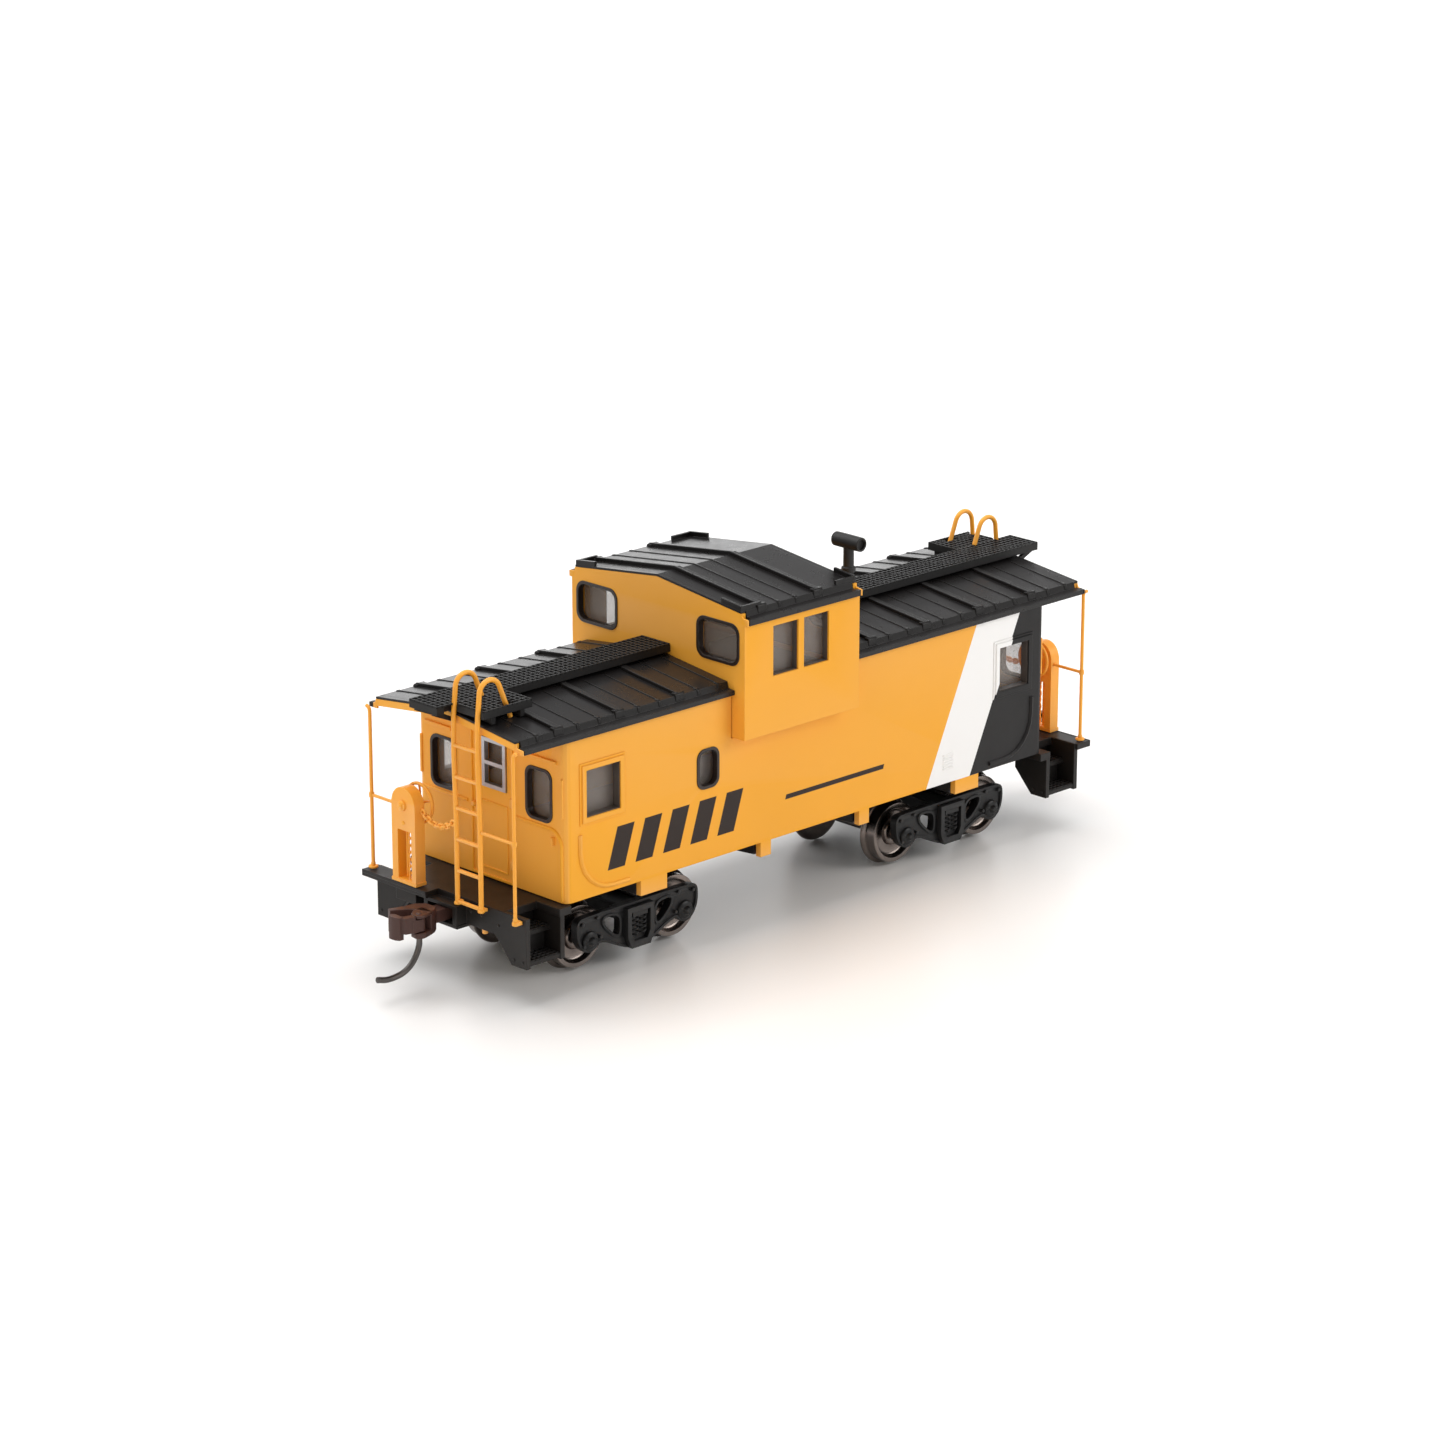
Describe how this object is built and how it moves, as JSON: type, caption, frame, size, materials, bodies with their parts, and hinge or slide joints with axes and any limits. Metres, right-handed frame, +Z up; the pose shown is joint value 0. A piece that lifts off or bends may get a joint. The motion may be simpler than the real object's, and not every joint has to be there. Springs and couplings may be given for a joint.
{
  "type": "model railway caboose",
  "caption": "Wide-vision railway caboose model with a raised cupola, end platforms with ladders and brake stands, swivelling trucks, rolling wheelsets and sprung knuckle couplers.",
  "frame": {"origin": "centre of the plan, at the height of the wheel flanges' lowest points", "axes": "+X along the car from the near end to the far end, +Y across the car, +Z up"},
  "size_m": [0.1484, 0.039, 0.0573],
  "materials": {
    "body_yellow": "satin amber-yellow moulded plastic",
    "rail_yellow": "satin amber-yellow engineering plastic",
    "roof_black": "semi-gloss black plastic",
    "walk_black": "satin black plastic",
    "frame_black": "satin black plastic",
    "truck_black": "satin black acetal",
    "clear_plastic": "clear, slightly smoky polystyrene",
    "sash_silver": "silver-painted plastic",
    "coupler_brown": "brown cast metal",
    "pin_metal": "blackened steel wire",
    "screw_steel": "plated steel",
    "axle_steel": "blackened steel",
    "wheel_metal": "turned, blackened nickel plating",
    "ballast_steel": "plain sheet steel"
  },
  "bodies": {
    "car": {"underframe": "frame_black", "ballast_weight": "ballast_steel", "body_shell": "body_yellow", "cupola_shell": "body_yellow", "roof_near": "roof_black", "roof_far": "roof_black", "cupola_roof": "roof_black", "roof_walk_near": "walk_black", "roof_walk_far": "walk_black", "smoke_jack": "roof_black", "glazing_side_left": "clear_plastic", "glazing_side_right": "clear_plastic", "glazing_cupola": "clear_plastic", "ladder_near": "rail_yellow", "corner_rail_near_left": "rail_yellow", "corner_rail_near_right": "rail_yellow", "brake_stand_near": "rail_yellow", "brake_wheel_near": "rail_yellow", "safety_chain_near": "rail_yellow", "door_sash_near": "sash_silver", "glazing_end_near": "clear_plastic", "coupler_lid_near": "frame_black", "coupler_screw_near": "screw_steel", "truck_screw_near": "screw_steel", "ladder_far": "rail_yellow", "corner_rail_far_left": "rail_yellow", "corner_rail_far_right": "rail_yellow", "brake_stand_far": "rail_yellow", "brake_wheel_far": "rail_yellow", "safety_chain_far": "rail_yellow", "door_sash_far": "sash_silver", "glazing_end_far": "clear_plastic", "coupler_lid_far": "frame_black", "coupler_screw_far": "screw_steel", "truck_screw_far": "screw_steel"},
    "truck_near": {"truck_frame_near": "truck_black"},
    "wheelset_near_outer": {"axle_near_outer": "axle_steel", "wheel_near_outer_left": "wheel_metal", "wheel_near_outer_right": "wheel_metal"},
    "wheelset_near_inner": {"axle_near_inner": "axle_steel", "wheel_near_inner_left": "wheel_metal", "wheel_near_inner_right": "wheel_metal"},
    "coupler_near": {"coupler_near": "coupler_brown", "trip_pin_near": "pin_metal"},
    "knuckle_near": {"knuckle_near": "coupler_brown"},
    "truck_far": {"truck_frame_far": "truck_black"},
    "wheelset_far_outer": {"axle_far_outer": "axle_steel", "wheel_far_outer_left": "wheel_metal", "wheel_far_outer_right": "wheel_metal"},
    "wheelset_far_inner": {"axle_far_inner": "axle_steel", "wheel_far_inner_left": "wheel_metal", "wheel_far_inner_right": "wheel_metal"},
    "coupler_far": {"coupler_far": "coupler_brown", "trip_pin_far": "pin_metal"},
    "knuckle_far": {"knuckle_far": "coupler_brown"}
  },
  "joints": [
    {"name": "truck_near_swivel", "type": "hinge", "parent": "car", "child": "truck_near", "pos_m": [-0.034, 0, 0.0092], "axis": [0, 0, 1], "range_deg": [-12, 12]},
    {"name": "wheelset_near_outer_roll", "type": "hinge", "parent": "truck_near", "child": "wheelset_near_outer", "pos_m": [-0.0437, 0, 0.00545], "axis": [0, 1, 0], "continuous": true},
    {"name": "wheelset_near_inner_roll", "type": "hinge", "parent": "truck_near", "child": "wheelset_near_inner", "pos_m": [-0.0243, 0, 0.00545], "axis": [0, 1, 0], "continuous": true},
    {"name": "coupler_near_swing", "type": "hinge", "parent": "car", "child": "coupler_near", "pos_m": [-0.0545, 0, 0.0112], "axis": [0, 0, 1], "range_deg": [-6, 6], "stiffness_Nm_per_rad": 0.0004},
    {"name": "knuckle_near_open", "type": "hinge", "parent": "coupler_near", "child": "knuckle_near", "pos_m": [-0.0674, -0.0017, 0.0112], "axis": [0, 0, 1], "range_deg": [0, 25], "stiffness_Nm_per_rad": 0.0002},
    {"name": "truck_far_swivel", "type": "hinge", "parent": "car", "child": "truck_far", "pos_m": [0.034, 0, 0.0092], "axis": [0, 0, 1], "range_deg": [-12, 12]},
    {"name": "wheelset_far_outer_roll", "type": "hinge", "parent": "truck_far", "child": "wheelset_far_outer", "pos_m": [0.0437, 0, 0.00545], "axis": [0, 1, 0], "continuous": true},
    {"name": "wheelset_far_inner_roll", "type": "hinge", "parent": "truck_far", "child": "wheelset_far_inner", "pos_m": [0.0243, 0, 0.00545], "axis": [0, 1, 0], "continuous": true},
    {"name": "coupler_far_swing", "type": "hinge", "parent": "car", "child": "coupler_far", "pos_m": [0.0545, 0, 0.0112], "axis": [0, 0, 1], "range_deg": [-6, 6], "stiffness_Nm_per_rad": 0.0004},
    {"name": "knuckle_far_open", "type": "hinge", "parent": "coupler_far", "child": "knuckle_far", "pos_m": [0.0674, 0.0017, 0.0112], "axis": [0, 0, 1], "range_deg": [0, 25], "stiffness_Nm_per_rad": 0.0002}
  ]
}
